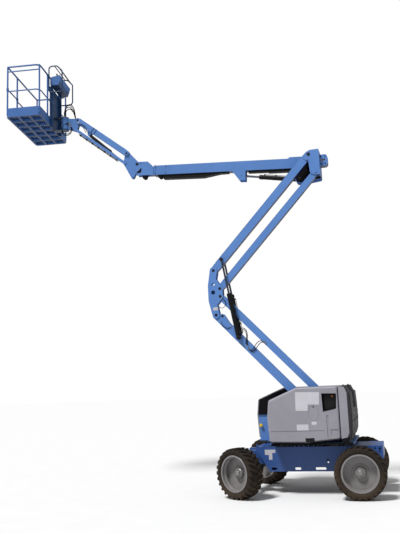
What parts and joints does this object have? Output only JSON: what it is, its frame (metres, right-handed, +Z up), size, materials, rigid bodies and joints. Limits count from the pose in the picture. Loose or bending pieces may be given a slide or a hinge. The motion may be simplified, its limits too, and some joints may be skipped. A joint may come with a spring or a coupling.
{
  "type": "articulating boom lift",
  "caption": "Self-propelled articulating boom lift with a folding two-arm riser, telescopic boom, jib and railed work platform on four lugged tyres.",
  "frame": {"origin": "on the ground under the middle of the whole machine", "axes": "+Z up, +X towards the front, where the platform hangs, +Y to the machine's left side"},
  "size_m": [7.6526, 2.6182, 9.262],
  "materials": {
    "boom_blue": "gloss",
    "cover_grey": "satin",
    "tail_grey": "satin",
    "axle_black": "painted",
    "tyre_rubber": "moulded",
    "rim_paint": "satin",
    "cylinder_black": "gloss",
    "rod_chrome": "polished",
    "rail_grey": "satin",
    "black_plastic": "matte"
  },
  "bodies": {
    "base": {"chassis": "tail_grey", "front_axle": "axle_black", "rear_axle": "axle_black", "slew_ring": "tail_grey"},
    "knuckle_left": {"knuckle_left": "axle_black"},
    "knuckle_right": {"knuckle_right": "axle_black"},
    "wheel_front_left": {"tyre_front_left": "tyre_rubber", "rim_front_left": "rim_paint"},
    "wheel_front_right": {"tyre_front_right": "tyre_rubber", "rim_front_right": "rim_paint"},
    "wheel_rear_left": {"tyre_rear_left": "tyre_rubber", "rim_rear_left": "rim_paint"},
    "wheel_rear_right": {"tyre_rear_right": "tyre_rubber", "rim_rear_right": "rim_paint"},
    "turntable": {"turntable": "boom_blue", "counterweight": "tail_grey", "engine": "tail_grey"},
    "cover_left": {"cover_left": "cover_grey"},
    "cover_right": {"cover_right": "cover_grey"},
    "lower_arm": {"lower_arm": "boom_blue"},
    "lower_link": {"lower_link": "boom_blue"},
    "mid_pivot": {"mid_pivot": "boom_blue"},
    "upper_arm": {"upper_arm": "boom_blue"},
    "upper_link": {"upper_link": "boom_blue"},
    "riser": {"riser": "boom_blue", "hose_guard": "black_plastic"},
    "lift_barrels": {"lift_barrels": "cylinder_black"},
    "lift_rods": {"lift_rods": "rod_chrome"},
    "primary_boom": {"primary_boom": "boom_blue", "boom_tray": "black_plastic"},
    "boom_barrel": {"boom_barrel": "cylinder_black"},
    "boom_rod": {"boom_rod": "rod_chrome"},
    "extension": {"extension": "boom_blue"},
    "bellcrank": {"bellcrank": "boom_blue"},
    "jib_arm": {"jib_arm": "boom_blue"},
    "jib_link": {"jib_link": "boom_blue"},
    "jib_barrel": {"jib_barrel": "cylinder_black"},
    "jib_rod": {"jib_rod": "rod_chrome"},
    "jib_head": {"jib_head": "boom_blue"},
    "platform": {"platform": "rail_grey", "platform_support": "boom_blue", "controls": "black_plastic"},
    "entry_bar": {"entry_bar": "rail_grey"}
  },
  "joints": [
    {"name": "steer_left", "type": "hinge", "parent": "base", "child": "knuckle_left", "pos_m": [-1.355, 0.818, 0.442], "axis": [0, 0, 1], "range_deg": [-4, 66]},
    {"name": "steer_right", "type": "hinge", "parent": "base", "child": "knuckle_right", "pos_m": [-1.355, -0.818, 0.442], "axis": [0, 0, 1], "range_deg": [-4, 66]},
    {"name": "wheel_front_left", "type": "hinge", "parent": "knuckle_left", "child": "wheel_front_left", "pos_m": [-1.27156, 0.95686, 0.442], "axis": [0.515, 0.8572, 0], "continuous": true},
    {"name": "wheel_front_right", "type": "hinge", "parent": "knuckle_right", "child": "wheel_front_right", "pos_m": [-1.43844, -0.95686, 0.442], "axis": [0.515, 0.8572, 0], "continuous": true},
    {"name": "wheel_rear_left", "type": "hinge", "parent": "base", "child": "wheel_rear_left", "pos_m": [-3.385, 0.98, 0.442], "axis": [0, 1, 0], "continuous": true},
    {"name": "wheel_rear_right", "type": "hinge", "parent": "base", "child": "wheel_rear_right", "pos_m": [-3.385, -0.98, 0.442], "axis": [0, 1, 0], "continuous": true},
    {"name": "slew", "type": "hinge", "parent": "base", "child": "turntable", "pos_m": [-2.37, 0, 0.9], "axis": [0, 0, 1], "range_deg": [-177.5, 177.5]},
    {"name": "cover_left", "type": "hinge", "parent": "turntable", "child": "cover_left", "pos_m": [-2.37, 0.303, 1.89], "axis": [1, 0, 0], "range_deg": [0, 60]},
    {"name": "cover_right", "type": "hinge", "parent": "turntable", "child": "cover_right", "pos_m": [-2.37, -0.303, 1.89], "axis": [-1, 0, 0], "range_deg": [0, 60]},
    {"name": "lower_arm", "type": "hinge", "parent": "turntable", "child": "lower_arm", "pos_m": [-2.951, 0.13, 1.054], "axis": [0, -1, 0], "range_deg": [-46.7, 28.3]},
    {"name": "lower_link", "type": "hinge", "parent": "turntable", "child": "lower_link", "pos_m": [-3.051, 0.13, 1.422], "axis": [0, -1, 0], "range_deg": [-46.7, 28.3]},
    {"name": "mid_pivot", "type": "hinge", "parent": "lower_arm", "child": "mid_pivot", "pos_m": [-0.7701, 0.13, 3.36832], "axis": [0, -1, 0], "range_deg": [-28.3, 46.7]},
    {"name": "upper_arm", "type": "hinge", "parent": "mid_pivot", "child": "upper_arm", "pos_m": [-0.7521, 0.13, 4.26732], "axis": [0, 1, 0], "range_deg": [-46.7, 28.3]},
    {"name": "upper_link", "type": "hinge", "parent": "mid_pivot", "child": "upper_link", "pos_m": [-0.8671, 0.13, 3.89232], "axis": [0, 1, 0], "range_deg": [-46.7, 28.3]},
    {"name": "riser", "type": "hinge", "parent": "upper_arm", "child": "riser", "pos_m": [-2.79584, 0.13, 6.43608], "axis": [0, 1, 0], "range_deg": [-28.3, 46.7]},
    {"name": "lift_barrels", "type": "hinge", "parent": "lower_arm", "child": "lift_barrels", "pos_m": [-1.21588, 0.13, 2.89527], "axis": [0, -1, 0], "range_deg": [-21.27, 34.77]},
    {"name": "lift_rods", "type": "slide", "parent": "lift_barrels", "child": "lift_rods", "axis": [0.1724, 0, 0.985], "range_m": [-0.50327, 0.30577]},
    {"name": "primary_boom", "type": "hinge", "parent": "riser", "child": "primary_boom", "pos_m": [-2.81984, -0.14, 6.34308], "axis": [0, -1, 0], "range_deg": [-4.5, 70.5]},
    {"name": "boom_barrel", "type": "hinge", "parent": "riser", "child": "boom_barrel", "pos_m": [-2.56984, -0.14, 6.03008], "axis": [0, -1, 0], "range_deg": [-4.91, 69.59]},
    {"name": "boom_rod", "type": "slide", "parent": "boom_barrel", "child": "boom_rod", "axis": [0.9818, 0, 0.1899], "range_m": [-0.03208, 0.47321]},
    {"name": "extension", "type": "slide", "parent": "primary_boom", "child": "extension", "axis": [0.9969, 0, 0.0785], "range_m": [0, 1.5]},
    {"name": "bellcrank", "type": "hinge", "parent": "extension", "child": "bellcrank", "pos_m": [0.92998, -0.14, 6.79869], "axis": [0, -1, 0], "range_deg": [-70.5, 4.5]},
    {"name": "jib_arm", "type": "hinge", "parent": "bellcrank", "child": "jib_arm", "pos_m": [1.16998, -0.14, 7.07969], "axis": [0, -1, 0], "range_deg": [-98.8, 36.2]},
    {"name": "jib_link", "type": "hinge", "parent": "bellcrank", "child": "jib_link", "pos_m": [1.22398, -0.14, 6.86969], "axis": [0, -1, 0], "range_deg": [-98.8, 36.2]},
    {"name": "jib_head", "type": "hinge", "parent": "jib_arm", "child": "jib_head", "pos_m": [2.33898, -0.14, 8.0196], "axis": [0, -1, 0], "range_deg": [-36.2, 98.8]},
    {"name": "jib_barrel", "type": "hinge", "parent": "jib_arm", "child": "jib_barrel", "pos_m": [2.07034, -0.14, 7.64834], "axis": [0, -1, 0], "range_deg": [-3.36, 1.55]},
    {"name": "jib_rod", "type": "slide", "parent": "jib_barrel", "child": "jib_rod", "axis": [-0.7359, 0, -0.6771], "range_m": [-0.33342, 0.12343]},
    {"name": "platform", "type": "hinge", "parent": "jib_head", "child": "platform", "pos_m": [2.67, -0.14, 7.888], "axis": [0, 0, 1], "range_deg": [-89, 71]},
    {"name": "entry_bar", "type": "slide", "parent": "platform", "child": "entry_bar", "axis": [0, 0, 1], "range_m": [0, 0.35]}
  ],
  "couplings": [
    {"joint": "steer_right", "follows": "steer_left", "ratio": 1},
    {"joint": "lower_link", "follows": "lower_arm", "ratio": 1},
    {"joint": "mid_pivot", "follows": "lower_arm", "ratio": -1},
    {"joint": "upper_arm", "follows": "lower_arm", "ratio": 1},
    {"joint": "upper_link", "follows": "lower_arm", "ratio": 1},
    {"joint": "riser", "follows": "lower_arm", "ratio": -1},
    {"joint": "lift_barrels", "follows": "lower_arm", "ratio": -0.73374},
    {"joint": "lift_rods", "follows": "lower_arm", "m_per_rad": 0.615},
    {"joint": "boom_barrel", "follows": "primary_boom", "ratio": 0.98},
    {"joint": "boom_rod", "follows": "primary_boom", "m_per_rad": 0.38295},
    {"joint": "bellcrank", "follows": "primary_boom", "ratio": -1},
    {"joint": "jib_link", "follows": "jib_arm", "ratio": 1},
    {"joint": "jib_head", "follows": "jib_arm", "ratio": -1},
    {"joint": "jib_barrel", "follows": "jib_arm", "ratio": 0.028921},
    {"joint": "jib_rod", "follows": "jib_arm", "m_per_rad": 0.19219}
  ]
}
